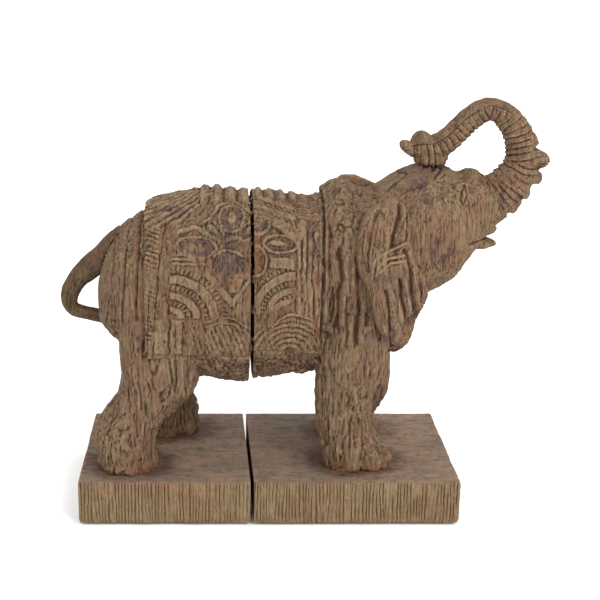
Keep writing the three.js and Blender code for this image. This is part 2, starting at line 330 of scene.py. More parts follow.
# %% Bark
def bark(where, width, length, seed):
    """Heights in mm of upright grain: strands, a few cracks, flaked edges and low lumps."""
    warp = np.stack([field(where, 11, seed + s) for s in (1, 2, 3)], 1)
    bent = where + warp * (2.0, 2.0, 5.0)
    strands = cracks(bent, (width, width, length), seed, width=0.16)
    fibres = field(bent, (width * 0.4, width * 0.4, length * 0.5), seed + 4)
    flakes = step(-0.05, 0.05, rough(bent, (width * 2.2, width * 2.2, length * 0.7), seed + 8))
    lumps = field(where, (9, 9, 22), seed + 5)
    small = rough(where, (1.9, 1.9, 5), seed + 6)
    return -strands * 0.6 + fibres * 0.5 + flakes * 0.75 + lumps * 0.8 + small * 0.2 - 0.4


def toes(where, x_front, y_middle):
    """Three rounded nails at the front of a foot that stands on the plinth."""
    total = np.zeros(len(where))
    for turn in (-0.75, 0.0, 0.75):
        at = np.array([x_front - 3.5 * abs(turn) * 2, y_middle + 14 * math.sin(turn), 31.0])
        away = np.linalg.norm((where - at) / (6.0, 5.0, 6.5), axis=1)
        total += np.clip(1 - away, 0, 1) ** 0.7 * 2.2
    return total


def foot_flare(where):
    """A foot spreads a little where it meets the plinth, with a rough edge."""
    return (1 - step(28.5, 35, where[:, 2])) * (2.0 + rough(where, (5, 5, 20), seed=15) * 0.9)


REAR_CUT = -31.5
REAR_SEAM = ((REAR_CUT, 0, 130), (1, 0, 0))
CUT_TURN = 0.0167  # the saw ran about one degree out of square

hindquarters = rough_block("hindquarters", "carved_hindquarters", [REAR_SEAM])
tail_root = rough_block("tail", "tail_root")
saw(tail_root, (-110, 0, 156), (-0.83, 0, -0.56))
join(hindquarters, tail_root)
soften(hindquarters, voxel=0.92, rounds=26)
print("hindquarters:", len(hindquarters.data.vertices), "points")


# %% Laying the blanket's ground on the body
SPINE_LEVEL = 131.0
RAY_START = 0.12  # metres from the middle line, outside the widest body
PROUD = 0.2
REAR_EDGE, REAR_HEM = -91, 98.5


def lay_on_body(block, name, x_from, x_to, hem_level, columns, rows):
    """A grid wrapped over the body from hem to hem, just proud of it."""
    tree = BVHTree.FromObject(block, bpy.context.evaluated_depsgraph_get())

    def hit(x, angle):
        out = Vector((0, math.cos(angle), math.sin(angle)))
        middle = Vector((x, 0, SPINE_LEVEL)) * MM
        return tree.ray_cast(middle + out * RAY_START, -out)[0] / MM

    def inside(x, margin):
        return min(max(x, x_from + margin), x_to - margin)

    def hem_angle(x):
        """Steps round the body until the ray meets it at the hem's level."""
        angle = -0.65
        for _ in range(6):
            y, z = hit(x, angle)[1:]
            angle += (hem_level - z) / max(math.hypot(y, z - SPINE_LEVEL), 1) * 0.9
        return angle

    bpy.ops.object.select_all(action="DESELECT")
    bpy.ops.mesh.primitive_grid_add(x_subdivisions=columns, y_subdivisions=rows, size=1)
    blanket = bpy.context.object
    blanket.name = blanket.data.name = name
    flat = points(blanket) * MM + (0.5, 0.5, 0)
    xs = np.unique(np.round(x_from + (x_to - x_from) * flat[:, 0], 4))
    low = {x: hem_angle(inside(x, 0.3)) for x in xs}
    where = np.empty((len(flat), 3))
    for i, (u, t, _) in enumerate(flat):
        x = round(x_from + (x_to - x_from) * u, 4)
        angle = math.pi - low[x] - t * (math.pi - 2 * low[x])
        where[i] = hit(inside(x, 0.2), angle)
        where[i, 0] = x
        where[i, 1:] += PROUD * np.array((math.cos(angle), math.sin(angle)))
    place_points(blanket, where)
    return blanket


def turn_cut(where, cut_x, more=0.0):
    """Turns the end of a blanket or slab with the saw cut; more turns it about the near edge."""
    share = np.clip(1 - np.abs(where[:, 0] - cut_x) / 20, 0, 1)
    where[:, 0] -= (CUT_TURN * where[:, 1] + more * (where[:, 1] - where[:, 1].min())) * share
    return where


rear_blanket = lay_on_body(
    hindquarters, "rear_blanket", x_from=REAR_EDGE, x_to=REAR_CUT, hem_level=REAR_HEM,
    columns=104, rows=400,
)
place_points(rear_blanket, turn_cut(points(rear_blanket), REAR_CUT))
print("rear blanket:", len(rear_blanket.data.vertices), "points")


# %% Carving the hindquarters
BED = 1.7  # how deep the body is cut away under a blanket
RUMP_CUTS = [
    [(-94.5, 186), (-95.6, 165), (-96.5, 120)],
    [(-101, 172), (-104, 150), (-104.5, 118)],
    [(-110, 160), (-112, 135)],
]


def up_the_flank(where):
    """A height that goes on growing where the flank leans in over the back."""
    return where[:, 2] + 0.28 * (42 - np.abs(where[:, 1]))


def rump_lines(where, paths, width, soft):
    """1 along the long upright cuts on the rump."""
    x = where[:, 0] + rough(where, (9, 9, 14), seed=23) * 1.2
    return sum(stroke(x, where[:, 2], path, width, soft) for path in paths)


where = points(hindquarters)
x, _, z = where.T
level = up_the_flank(where)
under_blanket = step(REAR_EDGE - 0.5, REAR_EDGE + 1.5, x) * step(98.0, 100.0, level)
behind_blanket = step(-103, -92.5, x) * (1 - step(-91.5, -90.5, x)) * step(96, 104, level)
leg = 1 - step(88, 108, z)
height = bark(where, width=3.0, length=30, seed=11) * (0.8 + 0.5 * leg)
height -= cracks(where, (7, 7, 80), seed=21, width=0.07) * 1.1 * (1 - leg)
height -= rump_lines(where, RUMP_CUTS, 1.3, 1.0) * 1.3 + 1.5 * behind_blanket
height += toes(where, -89, -30) + toes(where, -63, 29) + foot_flare(where)
height *= 1 - under_blanket
height[x > REAR_CUT + 1] = 0
height -= under_blanket * BED
cut(hindquarters, height)
saw(hindquarters, REAR_SEAM[0], (1, CUT_TURN, 0))


def red_feet(block, seed, extra=0):
    """Rust-red stain low on the feet and in streaks above them."""
    where = points(block)
    low = 1 - step(28, 37, where[:, 2] + rough(where, 7, seed) * 6)
    streaks = step(0.25, 0.6, rough(where, (6, 6, 30), seed + 1)) * 0.35
    store(block, "red", low + streaks + extra)


def painted_belly_shade(block):
    """Painted shade on the belly: more wash on the faces that look down."""
    return 0.4 * step(0.2, 0.8, -normals(block)[:, 2]) * step(84, 92, points(block)[:, 2])


# The belly gets painted shade as extra wash.
rub_wash(hindquarters, extra=painted_belly_shade(hindquarters))
red_feet(hindquarters, 25, extra=rump_lines(points(hindquarters), RUMP_CUTS[:1], 2.4, 2.4))

# %% [markdown]
# ## The blanket
#
# A patterned saddle cloth is cut into the flanks in low relief: banded borders, a flower, and fans of
# arcs. It is wrapped over the body as a fine grid, because a grid whose lines follow the pattern
# holds narrow carved bands better than a remeshed block does. The pattern is drawn on two numbers:
# x, along the body, and v, the height up the flank, which goes on growing over the curve of the back.


# %% Carving tools for low relief
def turned(x, v, at, degrees):
    """Distances from a place, along a direction and across it."""
    a = math.radians(degrees)
    dx, dv = x - at[0], v - at[1]
    return dx * math.cos(a) + dv * math.sin(a), dv * math.cos(a) - dx * math.sin(a)


def oval(x, v, at, long, short, degrees=0):
    """0 at the middle of an oval and 1 on its rim."""
    along, across = turned(x, v, at, degrees)
    return np.hypot(along / long, across / short)


def rim(shape, width, soft):
    """1 along the edge of an oval."""
    return bar(shape, 1.0, width, soft)


def filled(shape, size=2.0, soft=0.5):
    """1 inside an oval of that many radii across."""
    return bar(shape, 0, size, soft)


def ticks(along, pitch, share=0.5):
    """Short raised strokes along a band."""
    phase = np.abs(along / pitch - np.round(along / pitch)) * 2
    return 1 - step(share - 0.18, share + 0.18, phase)


def fan(x, v, at, plain, ticked, low, high, bend=1.0):
    """Plain raised arcs (radius, width) and ticked bands (radius, width) over a range of angles."""
    r = np.hypot((x - at[0]) * bend, v - at[1])
    angle = np.degrees(np.arctan2(v - at[1], x - at[0]))
    total = np.zeros_like(r)
    for radius, width in plain:
        total = np.maximum(total, bar(r, radius, width, 0.9))
    for radius, width in ticked:
        beads = ticks(np.radians(angle) * radius, 2.5, 0.5) * bar(r, radius, width, 0.8)
        total = np.maximum(total, beads * 0.55)
    return total * bar(angle, (low + high) / 2, high - low, 4)


def highest(*parts):
    return np.maximum.reduce(parts)


def strokes(x, v, table, soft=0.8):
    """The highest of several strokes, each a width and its path."""
    return highest(*[stroke(x, v, path, width, soft) for width, path in table])


def on_flank(blanket):
    """x and v of each point, with the wobble of a hand-held gouge and of worn edges."""
    where = points(blanket)
    v = up_the_flank(where) + np.maximum(25 - np.abs(where[:, 1]), 0) * 0.35
    x = where[:, 0] + rough(where, 7, seed=31) * 0.8 + rough(where, 2.2, seed=35) * 0.55
    return where, x, v + rough(where, 7, seed=33) * 0.8 + rough(where, 2.2, seed=37) * 0.55


def wear_down(where, relief, seed):
    """Rubs the pattern away in places, and scratches it with upright fibres."""
    kept = 0.35 + 0.65 * step(-0.45, 0.25, rough(where, (7, 7, 9), seed))
    fibres = rough(where, (1.6, 3, 9), seed + 2) * 0.34
    grit = rough(where, (1.5, 1.5, 2.2), seed + 4) * 0.3
    chips = step(0.42, 0.5, rough(where, (3.5, 4, 6), seed + 6)) * 0.45
    scars = cracks(where, (3.4, 5, 30), seed + 8, width=0.09) * 0.5
    return relief * kept, fibres + grit - chips - scars


# %% The rear half of the blanket
REAR_FAN = (-76.9, 121.4)


def rear_border(x, v):
    """Slanting ticks, in clusters, beside the rear edge."""
    clusters = ((156, 12, 5, 1.0), (135, 9, 5, 0.8), (172, 10, 6, 0.7), (116, 12, 6, 0.6))
    cluster = highest(*[bar(v, middle, width, soft) * tall for middle, width, soft, tall in clusters])
    slanting = ticks(v + 0.4 * x, 2.9, 0.5) * bar(x - 0.05 * v, -94.5, 7.5, 1.0)
    return slanting * (0.15 + 0.85 * cluster)


def rear_sashes(x, v):
    """Sashes that sweep up from the border to the back, and end there in a row of bumps."""
    rise = v - (175.3 + 0.645 * (x + 88.7) + 0.03 * np.maximum(x + 73.2, 0) ** 2)
    plain = highest(*[bar(rise, 4.5 * number - 6.5, 2.5) for number in range(8)])
    inside = (1 - step(-52, -48, x - 0.55 * (v - 190))) * step(173, 176, v - 0.25 * (x + 88))
    return plain * inside * step(-9, -7, rise)


SIDE_PETALS = [((-52.0, 174.0), 137), ((-31.4, 174.0), 43)]
UPRIGHT_PETAL, EYE_LEAF = (-41.4, 181.6), (-61.9, 163.8)


def rear_flower(x, v):
    """An upright petal under a pointed arch, two leaning ones, a ribbed shell and an eye-shaped leaf."""
    arch = [(-55.5, 172), (-54, 181), (-49.5, 188), (-41.4, 197), (-34, 188), (-30, 184)]
    lid = [(-77, 167.5), (-71, 173.5), (-62, 175.3), (-53, 170.5), (-45, 168), (-38, 170)]
    dome = [(-51.5, 158), (-49, 160.5), (-44.5, 162.4), (-39.5, 161.2), (-36, 158.8)]
    lines = strokes(x, v, ((1.9, arch), (2.5, lid), (1.7, dome)))
    rims = [
        rim(oval(x, v, UPRIGHT_PETAL, 8.6, 7.0, 90), 0.2, 0.12),
        rim(oval(x, v, EYE_LEAF, 11.4, 6.2, -4), 0.2, 0.12),
        *[rim(oval(x, v, at, 7.4, 3.8, turn), 0.24, 0.16) for at, turn in SIDE_PETALS],
    ]
    seeds = [
        oval(x, v, (-41.2, 181.6), 4.4, 2.2, 90),
        oval(x, v, (-64.8, 164.4), 3.4, 2.0, -8),
        *[oval(x, v, at, 3.9, 1.7, turn) for at, turn in SIDE_PETALS],
    ]
    angle = np.degrees(np.arctan2(v - 160, x + 44))
    ribs = ticks(angle, 26, 0.3) * bar(angle, -90, 130, 8) * 0.6
    shell = ribs * bar(np.hypot(x + 44, v - 160), 8.5, 9, 1.5)
    return highest(lines, *[each * 0.8 for each in rims], *[filled(each) for each in seeds], shell)


def red_wedge(x, v):
    """The wedge that stands in the V."""
    half_width = 2.4 + (v - 137) * 0.34
    return (1 - step(-0.5, 0.5, np.abs(x + 40) - half_width)) * bar(v, 141.4, 8.6, 1.0)


def rear_foot(x, v):
    """The V, the wedge in it, the row of ticks and the plain panels below."""
    arms = ((3.4, [(-55.5, 147), (-52, 143.5), (-41.2, 131)]),
            (2.4, [(-31.5, 144), (-34.1, 140.6), (-41.2, 131)]))
    lines = ticks(v, 2.7, 0.62) * bar(v, 156.0, 8.5, 1.5) * bar(x, -66, 20, 3) * 0.6
    low_arc = [(-57, 119.5), (-48, 123), (-40, 121.5), (-31, 115.5)]
    low_arcs = stroke(x, v, low_arc, 1.0) + stroke(x, v + 3.2, low_arc, 1.0)
    panels = (bar(x, -82, 9, 0.8) + bar(x, -73.4, 6.0, 0.8)) * bar(v, 111, 20, 1.2) * 0.7
    scratch = ticks(x + 0.4 * v, 3.1, 0.5) * bar(v, 109, 17, 2) * bar(x, -49, 33, 4) * 0.45
    return highest(strokes(x, v, arms), red_wedge(x, v), lines, low_arcs, panels, scratch)


def rear_pattern(x, v):
    arcs = fan(
        x, v, REAR_FAN, plain=[(23.6, 5.0), (14.0, 3.8), (5.9, 3.2)],
        ticked=[(28.6, 3.2), (18.9, 2.8), (9.9, 2.8)], low=2, high=92, bend=0.93,
    )
    arcs *= step(-77.6, -76.4, x) * step(119, 121, v)
    crest = 0.9 * ticks(x + 2, 8.2, 0.6) * step(193, 196, v) * step(-62, -58, x)
    parts = [part(x, v) for part in (rear_border, rear_sashes, rear_flower, rear_foot)]
    return highest(*parts, arcs, crest)


def panel_lines(x, v):
    """Thin cuts that frame the panels."""
    table = (  # how deep, how wide, and the line
        (1.0, 0.8, [(-79.2, 179), (-82.8, 152.3), (-86.9, 98)]),
        (0.8, 0.8, [(-88.0, 138), (-90.1, 98)]),
        (0.7, 0.6, [(-51.6, 168), (-52.5, 152), (-54.6, 139)]),
        (1.0, 0.7, [(-76.9, 120), (-77, 101)]),
        (1.0, 0.7, [(-69.9, 120), (-70, 101)]),
    )
    return highest(*[stroke(x, v, path, width, 0.6) * deep for deep, width, path in table])


def soot(x, v):
    """Grey patches rubbed round the flower."""
    return highest(
        bar(oval(x, v, UPRIGHT_PETAL, 8.0, 6.2, 90), 0.72, 0.62, 0.3) * 0.8,
        bar(oval(x, v, (-61.3, 163.8), 9.6, 5.0, -4), 0.75, 0.6, 0.3) * 0.9,
        *[bar(oval(x, v, at, 6.8, 3.3, turn), 0.75, 0.6, 0.3) * 0.9 for at, turn in SIDE_PETALS],
        filled(oval(x, v, (-41, 168), 7, 7), 1.7, 0.9) * 0.7,
        filled(oval(x, v, (-43, 153), 10.5, 7.5), 1.8, 0.6),
        filled(oval(x, v, (-77, 188), 12, 5), 1.7, 0.9) * 0.5,
    )


RELIEF = 1.35  # how far the pattern stands above its ground
GROUND = -0.6

where, x, v = on_flank(rear_blanket)
relief, scars = wear_down(where, rear_pattern(x, v), seed=301)
framing = panel_lines(x, v) * 0.6
bumps = (ticks(x + 2, 7.9, 0.55) * 1.5 - 0.5) * step(190, 195, v) * step(-66, -60, x)
height = relief * RELIEF + GROUND + scars - framing + rough(where, 9, seed=45) * 0.5
height += 1.5 * (1 - step(-90, -76, where[:, 0])) + 0.6 * (1 - step(99, 112, v)) + bumps
cut(rear_blanket, height)
print("deepest and highest cut, mm:", round(float(height.min()), 2), round(float(height.max()), 2))


# %% Finishing a blanket
SHEET = 2.6  # mm of wood, which reaches down past the body's surface


def back_blanket(blanket, relief, framing, grey, red):
    """Stores the wash and stains, then gives the sheet its wood down into the body."""
    rub_wash(blanket, extra=0.27 * (1 - relief) + 0.4 * framing, raised=0.4 * relief, fine=0.34)
    store(blanket, "grey", grey)
    store(blanket, "red", red + 0.3 * (1 - relief))
    apply_modifier(blanket, "SOLIDIFY", thickness=SHEET * MM, offset=-1, use_rim=True)


in_wedge = red_wedge(x, v) * (0.6 + 0.4 * rough(where, (3, 3, 3), seed=311))
back_blanket(rear_blanket, relief, framing, grey=soot(x, v), red=in_wedge)

# %% [markdown]
# ## The forequarters
#
# The front block carries the chest, the shoulders and the forelegs. Its blanket half ends at the
# shoulder, where a deep groove parts it from loose upright folds of hide.

# %% The front block
FRONT_CUT = -29.3
FRONT_EDGE, FRONT_HEM = 8.5, 102.5
FRONT_SEAM = ((FRONT_CUT, 0, 130), (-1, 0, 0))
HEAD_SEAM = ((54.6, 0, 160), (0.9074, 0, 0.4202))
NECK_BACK = tuple(-v for v in HEAD_SEAM[1])

forequarters = rough_block("forequarters", "carved_forequarters", [FRONT_SEAM, HEAD_SEAM])
soften(forequarters, voxel=0.95, rounds=24)
front_blanket = lay_on_body(
    forequarters, "front_blanket", x_from=FRONT_CUT, x_to=FRONT_EDGE, hem_level=FRONT_HEM,
    columns=70, rows=410,
)
place_points(front_blanket, turn_cut(points(front_blanket), FRONT_CUT))
print("forequarters:", len(forequarters.data.vertices), "points")

# %% Carving the forequarters
FOLDS = [  # upright folds of loose hide: a width and a line in x and z
    (1.8, [(13.5, 178), (14.5, 150), (13.5, 112)]),
    (1.9, [(22.5, 172), (19.5, 160), (20.5, 146), (19, 116)]),
    (2.2, [(25.5, 166), (29.5, 148), (31, 126), (30, 106)]),
    (2.0, [(33, 176), (35, 160), (37, 138), (36, 118)]),
    (1.8, [(42, 140), (41, 124), (44, 108)]),
    (1.4, [(16.8, 140), (16.2, 118)]),
    (1.6, [(25, 134), (24.5, 104)]),
]


def loose_hide(where):
    """1 on the shoulder, where the hide hangs loose."""
    x, _, z = where.T
    return step(9, 14, x) * step(96, 112, z) * (1 - step(172, 184, z))


def hide_folds(where):
    """1 along the folds, which fade out in places."""
    x = where[:, 0] + rough(where, (8, 8, 16), seed=53) * 2.2
    kept = step(-0.5, 0.2, rough(where, (9, 9, 22), seed=54))
    return highest(*[stroke(x, where[:, 2], path, width, width * 1.2) for width, path in FOLDS]) * kept


def withers(where):
    """1 on the patch of cracked plates between the blanket and the head."""
    x, _, z = where.T
    return step(14, 18, x) * (1 - step(34, 40, x)) * step(168, 176, z)


where = points(forequarters)
x, y, z = where.T
under_blanket = (1 - step(7.0, FRONT_EDGE, x)) * step(101.5, 103.5, up_the_flank(where))
leg = 1 - step(86, 104, z)
hide = loose_hide(where)
height = bark(where, width=2.8, length=26, seed=51) * (0.85 + 0.5 * leg)
height += field(where, (8, 8, 60), seed=55) * 1.3 * hide - hide_folds(where) * hide * 1.6
height -= bar(x, 10.3, 1.8, 1.2) * 2.2 * step(100, 112, z)  # the groove beside the blanket
height -= cracks(where, (8, 8, 8), seed=57, width=0.14) * withers(where) * 1.3
height += toes(where, 50, -26) + toes(where, 46.5, 27) + foot_flare(where)
height -= 2.4 * step(54, 62, x) * step(92, 102, z) * (1 - step(138, 150, z))  # the chest
height += 1.6 * step(38, 46, x) * step(5, 10, y) * (1 - step(84, 96, z))  # the far foreleg
height *= 1 - under_blanket
height[x < FRONT_CUT - 1] = 0
height -= under_blanket * BED
cut(forequarters, height)
saw(forequarters, FRONT_SEAM[0], (-1, -CUT_TURN, 0))
saw(forequarters, *HEAD_SEAM)
drop_crumbs(forequarters)

# %% Staining the forequarters, with painted shade on the belly
where = points(forequarters)
hide, folds = loose_hide(where), hide_folds(where)
streaks = step(0, 0.5, rough(where, (5, 5, 40), seed=59))
# Extra wash: painted shade on the belly, and the loose hide, darker along its folds.
rub_wash(forequarters, painted_belly_shade(forequarters) + hide * (0.1 + 0.38 * folds + 0.2 * streaks))
red_feet(forequarters, 59, extra=hide * folds * 0.8)
smoke = step(0.0, 0.4, rough(where, 8, seed=60))
store(forequarters, "grey", withers(where) * smoke * 0.8)

# %% The front half of the blanket
FRONT_FAN, SUN, LEAF = (-4.8, 122.9), (-26, 177.5), (-13.9, 166.0)


def front_sashes(x, v):
    """Sashes that fall from the saw cut towards the shoulder, with ticked bands between them."""
    narrow = ((3.2, [(-31, 202), (-24.4, 197.8), (-7.6, 188.6)]),
              (3.2, [(-31, 192), (-26, 189.5), (-6.9, 181.4)]))
    beads = ((2.6, [(-31, 197), (-7, 184.8)]), (2.8, [(-31, 189), (-4.7, 176.9)]))
    broad = stroke(x, v, [(-31, 185.5), (-16, 178.2), (-4.7, 171.8)], 6.0)
    level = ticks(v + 0.1 * x, 2.6, 0.6) * bar(x, 2.2, 11, 1.5) * bar(v, 189, 17, 2) * 0.6
    return highest(
        strokes(x, v, narrow), broad * (0.8 + 0.2 * ticks(v + 0.55 * x, 2.0, 0.6)),
        strokes(x, v, beads) * ticks(x + 0.5 * v, 2.5, 0.5) * 0.6, level,
    )


def front_arcs(x, v):
    """The fan over the panel, cut off where the shoulder's strands begin."""
    arcs = fan(
        x, v, FRONT_FAN, plain=[(23.9, 4.6), (15.9, 3.4)],
        ticked=[(28.2, 2.6), (19.9, 2.8), (11.8, 3.6)], low=90, high=176,
    )
    inner = stroke(x, v, [(-18.0, 126.5), (-14.5, 129.8), (-8.5, 132.2)], 3.4)
    return highest(arcs, inner) * (1 - step(-6.4, -5.4, x))


def front_strands(x, v):
    """Upright strands at the shoulder end of the blanket."""
    wavy_x = x + 0.8 * rough(np.stack([x, x, v], 1), (40, 40, 18), 69)
    ends = (1 - step(172, 178, v)) * step(121, 124, v)
    return 0.75 * ticks(wavy_x, 3.3, 0.6) * step(-5.6, -4.2, x) * ends


def front_pattern(x, v):
    """A spoked sun, a leaf, a lens at the cut, a square bar, the fan and rounded lines below it."""
    sun = oval(x, v, SUN, 5.6, 5.6)
    around = np.degrees(np.arctan2(v - SUN[1], x - SUN[0]))
    spokes = ticks(around, 24, 0.4) * bar(sun, 0.5, 0.7, 0.2) * 0.5
    rims = [
        rim(sun, 0.26, 0.15), rim(oval(x, v, LEAF, 9.6, 5.2, -4), 0.24, 0.14),
        rim(oval(x, v, (-27.5, 155.9), 5.0, 8.6), 0.26, 0.12),
    ]
    seed_leaf = filled(oval(x, v, (-16.2, 166.4), 5.0, 1.5, -3))
    square = bar(v + 0.1 * x, 153.0, 6.5, 1.2) * bar(x, -13.5, 14, 1.5) * 0.85
    dome = stroke(x, v, [(-18.5, 117), (-15, 121), (-9.8, 123.8), (-2, 123.4), (4.5, 121)], 1.2)
    upper = stroke(x, v, [(-1.2, 178.6), (-3.2, 169.6)], 4.2)
    below = 1 - step(119, 123, v + 0.02 * (x + 8) ** 2)
    under = ticks(np.hypot(x + 8, (v - 100) * 1.1), 3.3, 0.55) * below * 0.6
    crest = 0.8 * ticks(x - 1, 7.0, 0.6) * step(197, 200, v)
    parts = [part(x, v) for part in (front_sashes, front_arcs, front_strands)]
    return highest(*parts, *rims, spokes, seed_leaf, square, dome, upper, under, crest)


def front_stains(x, v):
    """Grey in the sun and the leaf, rust in the square and the lens beside the saw cut."""
    leaf = oval(x, v, LEAF, 8.4, 4.2, -4)
    grey = filled(oval(x, v, SUN, 5, 5), 1.8, 0.3) * 0.6 + bar(leaf, 0.75, 0.6, 0.3) * 0.5
    grey += filled(oval(x, v, (3, 160), 4.5, 15), 1.5, 0.9) * 0.5
    red = bar(x, -27, 8, 1) * bar(v, 168.4, 6, 1) * 0.5
    red += filled(oval(x, v, (-28, 155.9), 4.4, 7.8), 1.8, 0.3) * 0.6
    return grey, red + step(3, 7, x) * (1 - step(150, 165, v)) * 0.45


where, x, v = on_flank(front_blanket)
relief, scars = wear_down(where, front_pattern(x, v), seed=321)
bumps = (ticks(x - 1, 6.6, 0.55) * 1.3 - 0.4) * step(194, 199, v) * (1 - step(-6, -1, x))
height = relief * RELIEF + GROUND + scars + rough(where, 9, seed=65) * 0.5
height += 0.5 * (1 - step(102, 114, v)) + bumps
cut(front_blanket, height)
grey, red = front_stains(x, v)
back_blanket(front_blanket, relief, 0, grey, red)

# %% [markdown]
# ## The head
#
# The head is lifted and looks forward. Its cheeks are scraped with fine upright lines, a small cap of
# cloth lies over the crown, and the eyes and mouth are simple cuts.

# %% The head's block
TRUNK_SEAM = ((113, 0, 184.5), (0.9015, 0, 0.4327))
NECK_FRONT = (HEAD_SEAM[0], NECK_BACK)

head = rough_block("head", "carved_head", [NECK_FRONT, TRUNK_SEAM])
bpy.ops.object.select_all(action="DESELECT")
bpy.ops.mesh.primitive_uv_sphere_add(  # the upper lip
    segments=32, ring_count=16, radius=1, location=(0.1055, 0, 0.1645),
    rotation=(0, math.radians(-8), 0), scale=(0.0112, 0.0100, 0.0040),
)
join(head, bpy.context.object)
soften(head, voxel=0.68, rounds=14)


# %% Carving the head
def cap_of_cloth(where):
    """1 on the cloth over the crown, whose hem dips behind the brow."""
    x, y, z = where.T
    hem = np.interp(x, [40, 48, 58, 66, 72, 78, 85], [193, 191.6, 191.4, 193.4, 196, 199.6, 206])
    return step(-0.5, 0.5, z + 0.30 * (19 - np.abs(y)) - hem) * (1 - step(83, 86, x))


def along_cap(where):
    """The points turned so that the cap's creases lie along the first axis."""
    x, y, z = where.T
    return np.stack([x * 0.85 + z * 0.52, y * 0.5, z * 0.85 - x * 0.52], 1)


def cap_creases(where, width):
    """1 along the creases that run back over the cap."""
    bent = along_cap(where) + rough(where, 9, 78)[:, None] * (0, 0, 2.0)
    return cracks(bent, (16, 9, 3.4), seed=77, width=width)


def carve_eyes(where):
    """A small three-cornered eye under a hooded brow, on both sides: height and wash."""
    x, y, z = where.T
    side = step(10, 14, np.abs(y))
    rim = stroke(x, z, [(84.5, 190.5), (87.5, 194.3), (92.2, 196.0), (96.5, 193.5)], 1.5)
    notch = highest(
        stroke(x, z, [(92.2, 194.6), (89.9, 191.0), (89.2, 187.2), (90.6, 184.6)], 1.0, 0.9),
        stroke(x, z, [(92.2, 194.6), (93.0, 190), (90.6, 184.6)], 0.8, 0.8) * 0.7,
    )
    ball = np.clip(1 - oval(x, z, (91.3, 189.5), 2.0, 4.2, 5), 0, 1)
    return (rim * 0.9 - notch * 1.0 + ball * 1.2) * side, notch * side * 0.45


def mouth_line(where):
    """1 along the slit between the lips."""
    x, _, z = where.T
    return bar(z - 160.9 - 0.03 * (x - 100), 0, 1.6, 1.2) * step(94, 99, x)


where = points(head)
x, y, z = where.T
cloth = cap_of_cloth(where)
skin = field(where, (1.2, 1.2, 16), seed=73) * 0.3 + rough(where, (9, 9, 14), seed=75) * 0.9
skin -= 0.55 * cracks(where, (1.7, 1.7, 36), seed=71, width=0.22)
folded = 0.85 - cap_creases(where, 0.16) * 1.2 + rough(along_cap(where), (6, 4, 2), 79) * 0.5
jowl = stroke(x, z, [(64, 142), (72, 147.5), (82, 154), (90, 156)], 4.0, 4.0)
trunk_root = step(86, 90, x) * (1 - step(106, 110, x)) * step(193, 197, z)
height = skin * (1 - cloth) + folded * cloth
height += carve_eyes(where)[0] - mouth_line(where) * 2.2
height -= jowl * step(8, 12, np.abs(y)) * 0.8
height += trunk_root * (rough(where, (4.5, 5, 4.5), seed=72) * 1.4 - 1.5)
cut(head, height)
saw(head, *NECK_FRONT)
saw(head, *TRUNK_SEAM)

# %% Staining the head, with painted shade under the jaw and the brow
where = points(head)
x, _, z = where.T
cloth = cap_of_cloth(where)
in_creases = cloth * cap_creases(where, 0.2) * 0.5
rub_wash(head, extra=carve_eyes(where)[1] + mouth_line(where) * 0.5 + in_creases)
# Painted shade under the jaw and under the brow, stored with the cap's grey.
jaw_shade = filled(oval(x, z, (80, 158), 13, 8, 20), 1.6, 0.9) * 0.5
brow_shade = filled(oval(x, z, (70, 190), 22, 6, 20), 1.7, 0.9) * 0.4
store(head, "grey", np.maximum(cloth * 0.55, jaw_shade + brow_shade))

# %% [markdown]
# ## Trunk and tail
#
# Both are bent tubes, so their cuts follow the tube: rings across the trunk, fibres along the tail.
# Each point is measured along the middle line and round it.


# %% Measuring along a bent tube
def along_tube(where, line):
    """Distance along the middle line in mm, and angle round it."""
    line = np.array(line, float)
    sharp = np.linspace(0, len(line) - 1, 260)
    path = np.stack([np.interp(sharp, range(len(line)), line[:, k]) for k in (0, 1)], 1)
    for _ in range(12):
        path[1:-1] = 0.25 * path[:-2] + 0.5 * path[1:-1] + 0.25 * path[2:]
    run = np.concatenate([[0], np.cumsum(np.linalg.norm(np.diff(path, axis=0), axis=1))])
    gap = np.linalg.norm(where[:, None, [0, 2]] - path[None], axis=2)
    best = gap.argmin(1)
    ahead = np.gradient(path, axis=0)[best]
    ahead /= np.linalg.norm(ahead, axis=1)[:, None]
    away = where[:, [0, 2]] - path[best]
    rise = away[:, 0] * -ahead[:, 1] + away[:, 1] * ahead[:, 0]
    length = run[best] + (away * ahead).sum(1)
    return length, np.arctan2(where[:, 1], rise)


def round_tube(length, angle, radius=8.0):
    """Points of the unrolled tube, for the random field: fibres run along the third axis."""
    return np.stack([radius * np.cos(angle), radius * np.sin(angle), length], 1)


TRUNK_LINE = [
    (104, 178), (111, 183), (118.5, 188.5), (125.5, 197), (129, 206), (127.3, 216), (122.8, 226),
    (115.5, 233.6), (106.5, 236.1), (96, 229.5), (86.5, 219.8), (78, 214), (69, 213), (60, 213),
]
TAIL_LINE = [
    (-94.5, 164), (-102, 160.2), (-112.6, 152.7), (-123.2, 143.8), (-132, 136.6), (-138.3, 127.2),
    (-139.1, 120), (-136, 115.4), (-129.4, 113.6), (-120.2, 111.4), (-112, 108),
]

# %% Carving the trunk
TRUNK_BACK = (TRUNK_SEAM[0], tuple(-v for v in TRUNK_SEAM[1]))
TIP_FROM = 128
RING = 3.7


def measure_trunk(where):
    """The unrolled skin, wavy distance along it, and 1 outside the bend, on the back, at the tip."""
    length, angle = along_tube(where, TRUNK_LINE)
    skin = round_tube(length, angle)
    along = length + rough(skin, (7, 7, 9), seed=81) * 1.2
    outside = -np.cos(angle)
    back = step(0.25, 0.6, outside) * step(62, 70, length)
    return length, skin, along, outside, back, step(TIP_FROM, TIP_FROM + 6, length)


def ring_line(along, middle, width, soft):
    """1 on a thin line at the same place in every ring."""
    return bar(along / RING - np.round(along / RING), middle, width, soft)


